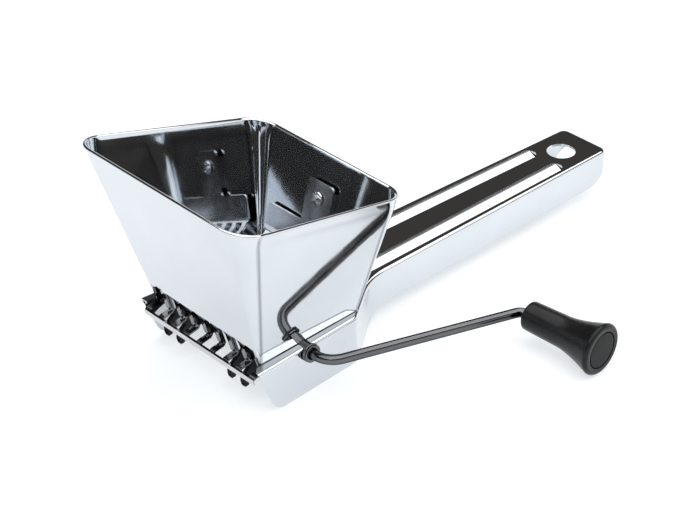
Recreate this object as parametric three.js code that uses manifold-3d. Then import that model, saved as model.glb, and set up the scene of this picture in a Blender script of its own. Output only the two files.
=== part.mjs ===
// Hand-cranked rotary herb mill: a sheet-steel hopper set into a pressed channel handle, with a row
// of clawed plates turned by a bent wire crank under the hopper.
// Millimetres, +Z up. While it is built, X = 0 and Z = AXLE_Z is the crank's axle, +X runs to the
// handle's end, -Y is the crank's side and Z = 0 is the top face of the handle. The finished group
// is then moved to stand on Z = 0, centred on the origin.
import * as THREE from "three";
import { mergeVertices } from "three/addons/utils/BufferGeometryUtils.js";
import Module from "manifold-3d";

// Clearances and sheet thicknesses
const GAP = 0.3;
const FRAME_SHEET = 1.0;
const HOPPER_SHEET = 0.8;

// Hopper: its lower and upper edges, as x and half-width at the front and at the back. Its corners are
// cones from FOLDED_CORNER toward CONE_CORNER, and above CORNER_FLARE_SHARE of the height they open out
// faster, to RIM_CORNER.
const HOPPER_FOOT = { frontX: -22.8, backX: 31.5, frontHalf: 31.9, backHalf: 30.0 };
const HOPPER_RIM = { frontX: -44.8, backX: 44.7, frontHalf: 50.1, backHalf: 43.1 };
const FOLDED_CORNER = 1.4;
const CONE_CORNER = 8.2;
const RIM_CORNER = 11;
const CORNER_FLARE_SHARE = 0.86;
const RIM_FRONT_Z = 75.1;
const RIM_BACK_Z = 53.8;
const HEM_PROUD = 0.8;
const HEM_SHARE = 0.024;
const HOPPER_TUCK = 0.018;
const WALL_SLOT = { foot: -4, top: 8.4, width: 5.2, round: 2.3 };

// Handle frame
const CHEEK_FRONT_X = -27;
const CHEEK_FRONT_HALF = 36.8;
const SHOULDER = { x: 27.5, half: 33.4, round: 6 };
const NECK = { x: 51, half: 16.8, round: 30 };
const HANDLE_END_X = 201.4;
const HANDLE_END_HALF = 13.4;
const HANDLE_END_ROUND = 3.8;
const FOLD_ROUND = 1.4;
const CHEEK_DEPTH = 21.8;
const CHEEK_FOOT_X = -17.8;
const CHEEK_FOOT_ROUND = 8;
const CHEEK_HEEL_X = 39;
const HANDLE_HEEL_X = 55;
const HANDLE_DEPTH = 15.9;
const HANDLE_TAIL_ROUND = 13;
const WINDOW_CORNER = 1.7;
const HANGING_HOLE = { x: 184.7, radius: 6.5 };
const BEAD = { fromX: 50, toX: 172, fromY: 9.8, toY: 7.9, half: 3.4, height: 1.8, crest: 0.9 };

// Axle, crank and knob
const AXLE_Z = -2.5;
const ROD_RADIUS = 2.1;
const ROD_BORE = 2.4;
const AXLE_FAR_Y = 39.2;
const CRANK_CORNER_Y = -45.6;
const CRANK_BEND = 8;
const PIN_X = 90;
const PIN_BEND = 3.4;
const PIN_CORNER_Y = -65.2;
const PIN_SPLAY = 4.5;
const KNOB_LENGTH = 37.2;
const KNOB_SETBACK = 3.6;
const KNOB_NECK = 6.3;
const KNOB_FLARE = 11.2;
const KNOB_NUT_BORE = 5;
const KNOB_CAP_BORE = 8;
const PIN_Z = -CHEEK_DEPTH + KNOB_FLARE + 0.05;

// Rotor
const CLAW_COUNT = 8;
const CLAW_PITCH = 7.95;
const CLAW_SHEET = 2;
const CLAW_REACH = 25.4;
const CLAW_HUB = 7.4;
const HIGH_CLAW_ANGLE = 165;
const LOW_CLAW_ANGLE = 212;
const LOW_CLAW_PLATES = [2, 3, 7, 8];
const SPACER_RADIUS = 6.2;

// Bushes
const BUSH_RADIUS = 3.1;
const BUSH_FLANGE = 4;
const BUSH_INNER_Y = 29.7;
const CHEEK_AT_AXLE = 35.1;
const BUSH_FLANGE_Y = CHEEK_AT_AXLE + GAP * 2 + 0.1;
const BUSH_OUTER_Y = BUSH_FLANGE_Y + 1;
const WASHER = { innerY: BUSH_OUTER_Y + 0.3, thickness: 0.7, radius: 3.8 };
const AXLE_CAP_FLANGE = 5.2;
const EAR = { half: 12, depth: 12, round: 7 };

// Combs and rivets
const FRONT_COMB = { half: 29.9, topZ: 17, ledgeZ: -3.4 };
const FRONT_BAR = { half: 33.5, x: -27, footX: -26.4, footZ: -6.6 };
const COMB_SLOT = { foot: -4.1, top: 10.4, width: 5.2, round: 2.3 };
const BACK_COMB = { half: 27, topZ: 43, barTop: 24, barFoot: 15, bracketHalf: 7.5, tineHalf: 1.5 };
const BACK_COMB_STANDOFF = 1.4;
const TINE_TIP = { x: 9.5, z: 0 };
const COMB_RIVET_Z = 35.6;
const FOOT_TAB = { half: 15, toX: 42, rivetX: 37.2, rivetY: 10 };
const RIVET_RADIUS = 1.5;
const RIVET_HEAD = 2.9;

const radians = THREE.MathUtils.degToRad;
const lerp = THREE.MathUtils.lerp;

// ---- materials ----
function metal(colour, roughness) {
  return new THREE.MeshStandardMaterial({ color: colour, roughness, metalness: 1 });
}
const polishedSteel = metal(0xdde2e8, 0.08);
const wireSteel = metal(0xc9cdd2, 0.15);
const cutterSteel = metal(0x6a6c70, 0.3);
const rivetSteel = metal(0xd0d3d8, 0.2);
const blackPlastic = new THREE.MeshStandardMaterial({ color: 0x1c1c1d, roughness: 0.42, metalness: 0 });

// ---- solids ----
const wasm = await Module();
wasm.setup();

function solid(geometry) {
  geometry.deleteAttribute("normal");
  geometry.deleteAttribute("uv");
  const merged = mergeVertices(geometry, 1e-4);
  return new wasm.Manifold(new wasm.Mesh({
    numProp: 3,
    vertProperties: new Float32Array(merged.attributes.position.array),
    triVerts: new Uint32Array(merged.index.array),
  }));
}

function geometryOf(manifold) {
  const { vertProperties, triVerts } = manifold.getMesh();
  const geometry = new THREE.BufferGeometry();
  geometry.setAttribute("position", new THREE.BufferAttribute(vertProperties, 3));
  geometry.setIndex(new THREE.BufferAttribute(triVerts, 1));
  geometry.computeVertexNormals();
  return geometry;
}

const assembly = new THREE.Group();

function place(name, geometry, material, x = 0, y = 0, z = 0, parent = assembly) {
  const mesh = new THREE.Mesh(geometry, material);
  mesh.name = name;
  mesh.position.set(x, y, z);
  parent.add(mesh);
}

// An outline in X and Y, extruded upward from z0 to z1; `round` rounds its two end edges.
function upright(points, z0, z1, round = 0) {
  const geometry = new THREE.ExtrudeGeometry(new THREE.Shape(points), {
    depth: z1 - z0 - 2 * round,
    bevelEnabled: round > 0,
    bevelThickness: round,
    bevelSize: round,
    bevelOffset: -round,
    bevelSegments: 3,
  });
  return geometry.translate(0, 0, z0 + round);
}

// An outline in X and Z, extruded across from y0 to y1.
function crosswise(points, y0, y1) {
  const geometry = new THREE.ExtrudeGeometry(new THREE.Shape(points), {
    depth: y1 - y0,
    bevelEnabled: false,
  });
  return geometry.rotateX(Math.PI / 2).translate(0, y1, 0);
}

// An outline in Y and Z, extruded along X from x0 to x1.
function facingFront(points, x0, x1) {
  const geometry = new THREE.ExtrudeGeometry(new THREE.Shape(points), {
    depth: x1 - x0,
    bevelEnabled: false,
  });
  return geometry.rotateX(Math.PI / 2).rotateZ(Math.PI / 2).translate(x0, 0, 0);
}

// A profile of [radius, height] pairs turned about Y.
function turned(profile, segments = 20) {
  return new THREE.LatheGeometry(profile.map(([r, y]) => new THREE.Vector2(r, y)), segments);
}

// A plain tube about Y.
function tube(bore, radius, y0, y1, segments) {
  return turned([[bore, y0], [radius, y0], [radius, y1], [bore, y1], [bore, y0]], segments);
}

function disc(x, y, radius, steps = 24) {
  return Array.from({ length: steps }, (_, i) => {
    const angle = (2 * Math.PI * i) / steps;
    return new THREE.Vector2(x + radius * Math.cos(angle), y + radius * Math.sin(angle));
  });
}

// A closed loop through corners [x, y, radius], each corner turned into an arc.
function roundedLoop(corners, steps = 5) {
  return corners.flatMap(([x, y, radius], i) => {
    const corner = new THREE.Vector2(x, y);
    if (!radius) return [corner];
    const before = corners[(i + corners.length - 1) % corners.length];
    const after = corners[(i + 1) % corners.length];
    const back = new THREE.Vector2(before[0] - x, before[1] - y).normalize();
    const ahead = new THREE.Vector2(after[0] - x, after[1] - y).normalize();
    const half = Math.acos(THREE.MathUtils.clamp(back.dot(ahead), -1, 1)) / 2;
    const centre = back.clone().add(ahead).normalize().multiplyScalar(radius / Math.sin(half)).add(corner);
    const reach = radius / Math.tan(half);
    const start = back.multiplyScalar(reach).add(corner).sub(centre);
    const end = ahead.multiplyScalar(reach).add(corner).sub(centre);
    const sweep = (Math.PI - 2 * half) * Math.sign(start.cross(end));
    return Array.from({ length: steps + 1 }, (_, k) =>
      start.clone().rotateAround(new THREE.Vector2(), (sweep * k) / steps).add(centre));
  });
}

// The same loop mirrored in Y is added to a half outline, so that the outline is symmetrical.
function symmetric(halfCorners) {
  return [...halfCorners, ...halfCorners.map(([x, y, radius]) => [x, -y, radius]).reverse()];
}

// The same for the half outline of a piece seen from the front, with corners [y, z, radius].
function symmetricUp(halfCorners) {
  return [...halfCorners, ...halfCorners.map(([y, z, radius]) => [-y, z, radius]).reverse()];
}

// The outline of a bent strip: a centreline given a thickness.
function strip(points, thickness) {
  const sides = points.map((point, i) => {
    const tangent = points[Math.min(i + 1, points.length - 1)].clone().sub(points[Math.max(i - 1, 0)]);
    const normal = new THREE.Vector2(-tangent.y, tangent.x).normalize().multiplyScalar(thickness / 2);
    return [point.clone().add(normal), point.clone().sub(normal)];
  });
  return [...sides.map((side) => side[0]), ...sides.map((side) => side[1]).reverse()];
}

function clawY(index) {
  return (index - (CLAW_COUNT - 1) / 2) * CLAW_PITCH;
}

// ---- hopper ----
const FOOT_SLOPE =
  (HOPPER_FOOT.backHalf - HOPPER_FOOT.frontHalf) / (HOPPER_FOOT.backX - HOPPER_FOOT.frontX);

// The half-width of the hopper's foot, on its outer face, at an x.
function footHalf(x) {
  return HOPPER_FOOT.frontHalf + FOOT_SLOPE * (x - HOPPER_FOOT.frontX);
}

// The radius of the hopper's corners, on their outer face, at a share of its height.
function hopperCorner(share) {
  const flare = Math.max(0, (share - CORNER_FLARE_SHARE) / (1 - CORNER_FLARE_SHARE));
  return lerp(FOLDED_CORNER, CONE_CORNER, share) + (RIM_CORNER - CONE_CORNER) * flare * flare;
}

// One ring around the hopper's wall: share 0 is the foot and 1 the rim, inset is measured inward.
function hopperRing(share, inset) {
  const foot = HOPPER_FOOT;
  const rim = HOPPER_RIM;
  const frontX = lerp(foot.frontX, rim.frontX, share) + inset;
  const backX = lerp(foot.backX, rim.backX, share) - inset;
  const frontHalf = lerp(foot.frontHalf, rim.frontHalf, share) - inset;
  const backHalf = lerp(foot.backHalf, rim.backHalf, share) - inset;
  const corner = hopperCorner(share) - inset;
  const loop = roundedLoop(symmetric([[frontX, frontHalf, corner], [backX, backHalf, corner]]), 6);
  return loop.map(({ x, y }) => {
    const along = (x - frontX) / (backX - frontX);
    return new THREE.Vector3(x, y, share * lerp(RIM_FRONT_Z, RIM_BACK_Z, along));
  });
}

// Rings joined in order, and the last to the first, into one closed wall.
function ringWall(rings) {
  const count = rings[0].length;
  const index = [];
  rings.forEach((_, r) => {
    const next = (r + 1) % rings.length;
    for (let i = 0; i < count; i += 1) {
      const j = (i + 1) % count;
      index.push(r * count + i, next * count + i, next * count + j);
      index.push(r * count + i, next * count + j, r * count + j);
    }
  });
  const geometry = new THREE.BufferGeometry().setFromPoints(rings.flat());
  geometry.setIndex(index);
  return geometry;
}

// Convex rings joined from the lowest to the highest, and closed with a flat face at both ends.
function ringStack(rings) {
  const count = rings[0].length;
  const last = (rings.length - 1) * count;
  const index = [];
  for (let r = 0; r < last; r += count) {
    for (let i = 0; i < count; i += 1) {
      const j = (i + 1) % count;
      index.push(r + i, r + j, r + count + j, r + i, r + count + j, r + count + i);
    }
  }
  for (let i = 1; i < count - 1; i += 1) {
    index.push(0, i + 1, i, last, last + i, last + i + 1);
  }
  const geometry = new THREE.BufferGeometry().setFromPoints(rings.flat());
  geometry.setIndex(index);
  return geometry;
}

function hopper() {
  const flareShares = [-HOPPER_TUCK, CORNER_FLARE_SHARE, 0.9, 0.94, 1 - HEM_SHARE];
  const wall = ringWall([
    ...flareShares.map((share) => hopperRing(share, 0)),
    hopperRing(1 - HEM_SHARE * 0.8, -HEM_PROUD), hopperRing(1, -HEM_PROUD), hopperRing(1, HOPPER_SHEET),
    ...flareShares.map((share) => hopperRing(share, HOPPER_SHEET)).reverse(),
  ]);
  let body = solid(wall);
  const { half, depth, round } = EAR;
  const earOutline = roundedLoop([
    [-half, 1, 0], [-half, -depth, round], [half, -depth, round], [half, 1, 0],
  ]);
  for (const side of [-1, 1]) {
    const ear = crosswise(earOutline, -HOPPER_SHEET / 2, HOPPER_SHEET / 2);
    ear.rotateZ(side * Math.atan(FOOT_SLOPE)).translate(0, side * (footHalf(0) - HOPPER_SHEET / 2), 0);
    body = body.add(solid(ear));
  }
  body = body.subtract(solid(crosswise(disc(0, AXLE_Z, BUSH_RADIUS + GAP), -40, 40)));
  const tabBottom = GAP;
  const tab = roundedLoop(symmetric([
    [HOPPER_FOOT.backX - 0.3, FOOT_TAB.half, 0], [FOOT_TAB.toX, FOOT_TAB.half, 4],
  ]));
  body = body.add(solid(upright(tab, tabBottom, tabBottom + HOPPER_SHEET)));
  for (const side of [-1, 1]) {
    const hole = disc(FOOT_TAB.rivetX, side * FOOT_TAB.rivetY, RIVET_RADIUS + GAP, 16);
    body = body.subtract(solid(upright(hole, -1, 3)));
  }
  body = body.subtract(solid(combRivetHole()));
  return geometryOf(cutSlots(body, WALL_SLOT));
}

// Cuts one slot per claw plate through a front-facing sheet.
function cutSlots(sheet, { foot, top, width, round }) {
  let body = sheet;
  for (let i = 0; i < CLAW_COUNT; i += 1) {
    const [left, right] = [clawY(i) - width / 2, clawY(i) + width / 2];
    const slot = roundedLoop([[left, foot, 0], [right, foot, 0], [right, top, round], [left, top, round]], 4);
    body = body.subtract(solid(facingFront(slot, -40, -10)));
  }
  return body;
}

// The x of the hopper's back wall and front wall, on their outer faces, at a height.
function backWallX(z) {
  return lerp(HOPPER_FOOT.backX, HOPPER_RIM.backX, z / RIM_BACK_Z);
}
function frontWallX(z) {
  return lerp(HOPPER_FOOT.frontX, HOPPER_RIM.frontX, z / RIM_FRONT_Z);
}
const BACK_WALL_LEAN = Math.atan2(HOPPER_RIM.backX - HOPPER_FOOT.backX, RIM_BACK_Z);

// A piece or tool made about Y, turned to stand square to the back wall with its top inward.
function squareToBackWall(geometry) {
  return geometry.rotateZ(Math.PI / 2).rotateY(BACK_WALL_LEAN);
}

function combRivetHole() {
  const hole = squareToBackWall(crosswise(disc(0, 0, RIVET_RADIUS + GAP, 16), -8, 8));
  return hole.translate(backWallX(COMB_RIVET_Z), 0, COMB_RIVET_Z);
}

// ---- handle frame ----
// The round-ended outline of one bead along the handle.
function beadOutline(sign, inset) {
  const radius = BEAD.half - inset;
  const from = new THREE.Vector2(BEAD.fromX, sign * BEAD.fromY);
  const to = new THREE.Vector2(BEAD.toX, sign * BEAD.toY);
  const heading = to.clone().sub(from).angle();
  const end = (centre, start) => Array.from({ length: 9 }, (_, i) => {
    const angle = heading + start + (Math.PI * i) / 8;
    return new THREE.Vector2(Math.cos(angle), Math.sin(angle)).multiplyScalar(radius).add(centre);
  });
  return [...end(to, -Math.PI / 2), ...end(from, Math.PI / 2)];
}

// One ridge-shaped bead, from below the sheet's top face up to its crest, moved up by lift.
function bead(sign, lift) {
  const levels = [[0, -FRAME_SHEET * 1.5], [0, lift], [BEAD.half - BEAD.crest, BEAD.height + lift]];
  const rings = levels.map(([inset, z]) =>
    beadOutline(sign, inset).map(({ x, y }) => new THREE.Vector3(x, y, z)));
  return solid(ringStack(rings));
}

function handleFrame() {
  const plan = (inset) => symmetric([
    [CHEEK_FRONT_X - 5, CHEEK_FRONT_HALF - inset, 0],
    [SHOULDER.x, SHOULDER.half - inset, SHOULDER.round - inset],
    [NECK.x - inset, NECK.half - inset, NECK.round + inset],
    [HANDLE_END_X - inset, HANDLE_END_HALF - inset, HANDLE_END_ROUND - inset],
  ]);
  const side = roundedLoop([
    [CHEEK_FRONT_X, 3, 0],
    [CHEEK_FRONT_X, 0, 0],
    [CHEEK_FOOT_X, -CHEEK_DEPTH, CHEEK_FOOT_ROUND],
    [CHEEK_HEEL_X, -CHEEK_DEPTH, 12],
    [HANDLE_HEEL_X, -HANDLE_DEPTH, 20],
    [HANDLE_END_X, -HANDLE_DEPTH, HANDLE_TAIL_ROUND],
    [HANDLE_END_X, 3, 0],
  ], 6);
  let body = solid(upright(roundedLoop(plan(0)), -40, 0, FOLD_ROUND));
  const inside = upright(roundedLoop(plan(FRAME_SHEET)), -50, -FRAME_SHEET, FOLD_ROUND - FRAME_SHEET);
  body = body.intersect(solid(crosswise(side, -60, 60)));

  const cut = (points, z0, z1, round) => {
    body = body.subtract(solid(upright(points, z0, z1, round)));
  };
  for (const sign of [-1, 1]) {
    body = body.add(bead(sign, 0));
  }
  body = body.subtract(solid(inside));
  for (const sign of [-1, 1]) {
    body = body.subtract(bead(sign, -FRAME_SHEET * 1.1));
  }
  const foot = HOPPER_FOOT;
  const windowFrontX = CHEEK_FRONT_X - 8;
  cut(roundedLoop(symmetric([
    [windowFrontX, footHalf(windowFrontX) + GAP, 0], [foot.backX + GAP, foot.backHalf + GAP, WINDOW_CORNER],
  ])), -30, 5);
  cut(disc(HANGING_HOLE.x, 0, HANGING_HOLE.radius, 32), -30, 5);
  for (const sign of [-1, 1]) {
    cut(disc(FOOT_TAB.rivetX, sign * FOOT_TAB.rivetY, RIVET_RADIUS + GAP, 16), -5, 5);
  }
  body = body.subtract(solid(crosswise(disc(0, AXLE_Z, BUSH_RADIUS + GAP), -60, 60)));
  return geometryOf(body);
}

// ---- combs ----
// The front comb stands inside the hopper's wall, and comes out under it as a ledge that is slotted
// for the claws and folded down into a plain bar, just beyond their reach.
function frontComb() {
  const { half, topZ, ledgeZ } = FRONT_COMB;
  const bar = FRONT_BAR;
  const behind = HOPPER_SHEET * 1.5 + GAP + 0.1;
  const wallX = (z) => frontWallX(z) + behind;
  const path = new THREE.Path();
  path.moveTo(wallX(topZ), topZ);
  path.lineTo(wallX(-1.5), -1.5);
  path.quadraticCurveTo(wallX(-1.5) - 0.2, -2.8, wallX(-1.5) - 1.6, ledgeZ + 0.5);
  path.lineTo(bar.x + 1.8, ledgeZ);
  path.quadraticCurveTo(bar.x, ledgeZ - 0.3, bar.x, ledgeZ - 1.6);
  path.quadraticCurveTo(bar.x, bar.footZ + 0.8, bar.footX, bar.footZ);
  const sheet = solid(crosswise(strip(path.getPoints(6), HOPPER_SHEET), -bar.half, bar.half));
  const outline = facingFront(roundedLoop(symmetricUp([
    [half - 1, topZ, 3], [half, ledgeZ + 1, 0], [bar.half, ledgeZ + 1, 0], [bar.half, bar.footZ * 2, 0],
  ])), -40, 0);
  return geometryOf(cutSlots(sheet, COMB_SLOT).intersect(solid(outline)));
}

// The x of the back comb's middle surface at a height.
function backCombX(z) {
  return backWallX(z) - HOPPER_SHEET * 1.5 - BACK_COMB_STANDOFF;
}

function backComb() {
  const { half, topZ, barTop, barFoot, bracketHalf, tineHalf } = BACK_COMB;
  const wallX = backCombX;
  const path = new THREE.Path();
  path.moveTo(wallX(topZ), topZ);
  path.lineTo(wallX(barFoot), barFoot);
  path.quadraticCurveTo(wallX(barFoot) - 0.8, barFoot - 3.5, wallX(barFoot) - 5, barFoot - 5);
  path.lineTo(TINE_TIP.x, TINE_TIP.z);
  const sheet = solid(crosswise(strip(path.getPoints(6), HOPPER_SHEET), -half, half));
  let outline = solid(facingFront(roundedLoop(symmetricUp([
    [bracketHalf, topZ, 2], [bracketHalf, barTop, 1.5], [half, barTop, 2], [half, barFoot - 2, 1],
  ])), 0, 60));
  for (let i = 0; i < CLAW_COUNT - 1; i += 1) {
    const y = (clawY(i) + clawY(i + 1)) / 2;
    const tine = roundedLoop([
      [y - tineHalf, barFoot, 0], [y - tineHalf, -5, 0], [y + tineHalf, -5, 0], [y + tineHalf, barFoot, 0],
    ]);
    outline = outline.add(solid(facingFront(tine, 0, 60)));
  }
  let body = sheet.intersect(outline);
  // Two edges of the bracket are folded back to the wall and hold it clear.
  for (const side of [-1, 1]) {
    const edge = side * (bracketHalf - HOPPER_SHEET / 2);
    const lip = strip([new THREE.Vector2(wallX(barTop + 3) + 0.7, barTop + 3),
      new THREE.Vector2(wallX(topZ - 3) + 0.7, topZ - 3)], 2.0);
    body = body.add(solid(crosswise(lip, edge - HOPPER_SHEET / 2, edge + HOPPER_SHEET / 2)));
  }
  return geometryOf(body.subtract(solid(combRivetHole())));
}

// A rivet about Y: head at the top, peened tail below, gripping a stack of the given thickness.
function rivet(grip) {
  const tail = RIVET_HEAD * 0.8;
  return turned([
    [0, -grip - GAP - 0.9], [tail * 0.7, -grip - GAP - 0.9], [tail, -grip - GAP - 0.5], [tail, -grip - GAP],
    [RIVET_RADIUS, -grip - GAP], [RIVET_RADIUS, GAP], [RIVET_HEAD, GAP], [RIVET_HEAD * 0.9, GAP + 0.6],
    [RIVET_HEAD * 0.55, GAP + 1.15], [0, GAP + 1.3],
  ], 18);
}

// ---- rotor ----
function clawPlate(angle) {
  const shape = new THREE.Shape();
  const at = (radius, degrees) => {
    const turn = radians(degrees);
    return [radius * Math.cos(turn), radius * Math.sin(turn)];
  };
  shape.moveTo(...at(CLAW_HUB, angle - 38));
  for (const claw of [angle, angle + 180]) {
    shape.absarc(0, 0, CLAW_HUB, radians(claw - 48), radians(claw - 34), false);
    shape.quadraticCurveTo(...at(CLAW_REACH * 0.6, claw - 19), ...at(CLAW_REACH * 0.9, claw - 9));
    shape.quadraticCurveTo(...at(CLAW_REACH * 0.99, claw - 5), ...at(CLAW_REACH, claw + 3));
    shape.lineTo(...at(CLAW_REACH * 0.94, claw + 5));
    shape.quadraticCurveTo(...at(CLAW_REACH * 0.84, claw + 2), ...at(CLAW_REACH * 0.6, claw + 7));
    shape.quadraticCurveTo(...at(CLAW_HUB * 1.3, claw + 14), ...at(CLAW_HUB, claw + 36));
  }
  let body = solid(crosswise(shape.getPoints(5), -CLAW_SHEET / 2, CLAW_SHEET / 2));
  body = body.subtract(solid(crosswise(disc(0, 0, ROD_BORE, 16), -2, 2)));
  return geometryOf(body);
}

function spacer() {
  const half = (CLAW_PITCH - CLAW_SHEET) / 2 - GAP;
  return tube(ROD_BORE, SPACER_RADIUS, -half, half, 18);
}

// A flanged bush about Y, its flange at the outer end.
function bush() {
  const inner = BUSH_INNER_Y;
  const outer = BUSH_OUTER_Y;
  return turned([
    [ROD_BORE, inner], [BUSH_RADIUS, inner], [BUSH_RADIUS, BUSH_FLANGE_Y], [BUSH_FLANGE, BUSH_FLANGE_Y],
    [BUSH_FLANGE, outer - 0.3], [BUSH_FLANGE - 0.4, outer], [ROD_BORE, outer], [ROD_BORE, inner],
  ], 24);
}

// The pin leaves its corner along -Y, splayed a little toward the handle's end.
const pinDirection = new THREE.Vector3(0, -1, 0);
pinDirection.applyAxisAngle(new THREE.Vector3(0, 0, 1), radians(PIN_SPLAY));

function crankRod() {
  const corner = new THREE.Vector3(0, CRANK_CORNER_Y, AXLE_Z);
  const pinCorner = new THREE.Vector3(PIN_X, PIN_CORNER_Y, PIN_Z);
  const start = new THREE.Vector3(0, AXLE_FAR_Y, AXLE_Z);
  const pinEnd = pinDirection.clone().multiplyScalar(KNOB_SETBACK + KNOB_LENGTH - 4.5).add(pinCorner);
  const path = new THREE.CurvePath();
  const towards = (from, to, distance) => to.clone().sub(from).setLength(distance).add(from);
  const bendIn = towards(corner, start, CRANK_BEND);
  const bendOut = towards(corner, pinCorner, CRANK_BEND);
  const pinIn = towards(pinCorner, corner, PIN_BEND);
  const pinOut = towards(pinCorner, pinEnd, PIN_BEND);
  path.add(new THREE.LineCurve3(start, bendIn));
  path.add(new THREE.QuadraticBezierCurve3(bendIn, corner, bendOut));
  path.add(new THREE.LineCurve3(bendOut, pinIn));
  path.add(new THREE.QuadraticBezierCurve3(pinIn, pinCorner, pinOut));
  path.add(new THREE.LineCurve3(pinOut, pinEnd));
  return new THREE.ExtrudeGeometry(new THREE.Shape(disc(0, 0, ROD_RADIUS, 12)), {
    steps: 64,
    bevelEnabled: false,
    extrudePath: path,
  });
}

// A domed push-on cap over the axle's far end: a cup open toward the bush.
function axleCap() {
  const floor = AXLE_FAR_Y + GAP;
  const mouth = BUSH_OUTER_Y + 0.4;
  return turned([
    [ROD_BORE, mouth], [AXLE_CAP_FLANGE, mouth], [AXLE_CAP_FLANGE, mouth + 0.7], [3.7, mouth + 1.1],
    [3.4, floor + 0.4], [2.2, floor + 1.0], [0, floor + 1.2], [0, floor], [ROD_BORE, floor],
    [ROD_BORE, mouth],
  ], 20);
}

function crankWasher() {
  return tube(ROD_BORE, WASHER.radius, -WASHER.innerY - WASHER.thickness, -WASHER.innerY, 20);
}

// ---- knob: turned about Y from its narrow neck to its flared end, both along -Y ----
function knobRadius(share) {
  const swell = KNOB_NECK + 1.0 * share;
  const flare = Math.pow(THREE.MathUtils.clamp((share - 0.45) / 0.5, 0, 1), 1.7);
  return lerp(swell, KNOB_FLARE, flare);
}

function knob() {
  const end = -KNOB_LENGTH;
  const bore = ROD_BORE + 0.1;
  const profile = [[bore, 0], [KNOB_NECK - 1, 0], [KNOB_NECK - 0.3, -0.3]];
  const steps = 14;
  for (let i = 1; i <= steps; i += 1) {
    const share = i / steps;
    profile.push([knobRadius(share * 0.95), -0.9 + (end + 2.4) * share]);
  }
  profile.push([KNOB_FLARE - 0.4, end + 0.4], [KNOB_FLARE - 1.3, end], [KNOB_CAP_BORE, end]);
  profile.push([KNOB_CAP_BORE, end + 1.8], [KNOB_NUT_BORE, end + 1.8]);
  profile.push([KNOB_NUT_BORE, end + 9], [bore, end + 9]);
  profile.push([bore, 0]);
  return turned(profile.reverse(), 32);
}

function knobNut() {
  return turned([[ROD_BORE, -0.9], [KNOB_NUT_BORE - 0.6, -0.9], [KNOB_NUT_BORE - 0.6, 0], [3.4, 0.5],
    [ROD_BORE, 0.5], [ROD_BORE, -0.9]], 16);
}

function knobCap() {
  const radius = KNOB_CAP_BORE - GAP;
  return turned([[0, 0], [radius - 0.3, 0], [radius, 0.3], [radius, 1.3], [0, 1.3]], 32);
}

// ---- assembly ----
place("hopper", hopper(), polishedSteel);
place("handle_frame", handleFrame(), polishedSteel);
place("front_comb", frontComb(), polishedSteel);
place("back_comb", backComb(), polishedSteel);

const combGrip = HOPPER_SHEET * 2 + BACK_COMB_STANDOFF;
const combRivetAt = new THREE.Vector3(-combGrip, 0, 0);
combRivetAt.applyAxisAngle(new THREE.Vector3(0, 1, 0), BACK_WALL_LEAN);
combRivetAt.add(new THREE.Vector3(backWallX(COMB_RIVET_Z), 0, COMB_RIVET_Z));
place("comb_rivet", squareToBackWall(rivet(combGrip)), rivetSteel, ...combRivetAt.toArray());
for (const [name, side] of [["foot_rivet_crank_side", -1], ["foot_rivet_far_side", 1]]) {
  const footRivet = rivet(HOPPER_SHEET + FRAME_SHEET + GAP).rotateX(Math.PI / 2);
  place(name, footRivet, rivetSteel, FOOT_TAB.rivetX, side * FOOT_TAB.rivetY, HOPPER_SHEET + GAP);
}

place("axle_bush_far_side", bush(), rivetSteel, 0, 0, AXLE_Z);
place("axle_bush_crank_side", bush().rotateZ(Math.PI), rivetSteel, 0, 0, AXLE_Z);
place("crank_rod", crankRod(), wireSteel);
place("crank_washer", crankWasher(), rivetSteel, 0, 0, AXLE_Z);
place("axle_cap", axleCap(), rivetSteel, 0, 0, AXLE_Z);
for (let i = 0; i < CLAW_COUNT; i += 1) {
  const angle = LOW_CLAW_PLATES.includes(i + 1) ? LOW_CLAW_ANGLE : HIGH_CLAW_ANGLE;
  place(`claw_plate_${i + 1}`, clawPlate(angle), cutterSteel, 0, clawY(i), AXLE_Z);
}
for (let i = 0; i < CLAW_COUNT - 1; i += 1) {
  place(`claw_spacer_${i + 1}`, spacer(), cutterSteel, 0, (clawY(i) + clawY(i + 1)) / 2, AXLE_Z);
}

const knobGroup = new THREE.Group();
knobGroup.position.set(PIN_X, PIN_CORNER_Y, PIN_Z);
knobGroup.rotation.z = radians(PIN_SPLAY);
assembly.add(knobGroup);
place("knob", knob(), blackPlastic, 0, -KNOB_SETBACK, 0, knobGroup);
const knobEndY = -KNOB_SETBACK - KNOB_LENGTH;
place("knob_nut", knobNut(), rivetSteel, 0, knobEndY + 6.5, 0, knobGroup);
place("knob_cap", knobCap(), blackPlastic, 0, knobEndY + 0.1, 0, knobGroup);

const bounds = new THREE.Box3().setFromObject(assembly);
const centre = bounds.getCenter(new THREE.Vector3());
assembly.position.set(-centre.x, -centre.y, -bounds.min.z);

export default assembly;
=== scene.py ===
"""Looks of the hand-cranked herb mill: polished sheet, bent wire, dark cutters and a black knob.

Shapes are worked out in the mill's own millimetres: X = 0, Z = -2.5 is the crank's axle, +X runs to
the handle's end, the crank is on -Y, and Z = 0 is the top face of the handle. at() turns such a point
into the CAD frame, from the places of the CAD's own bushes.
"""
import math

import bmesh
import bpy
from mathutils import Matrix, Vector
from mathutils.geometry import delaunay_2d_cdt


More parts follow.
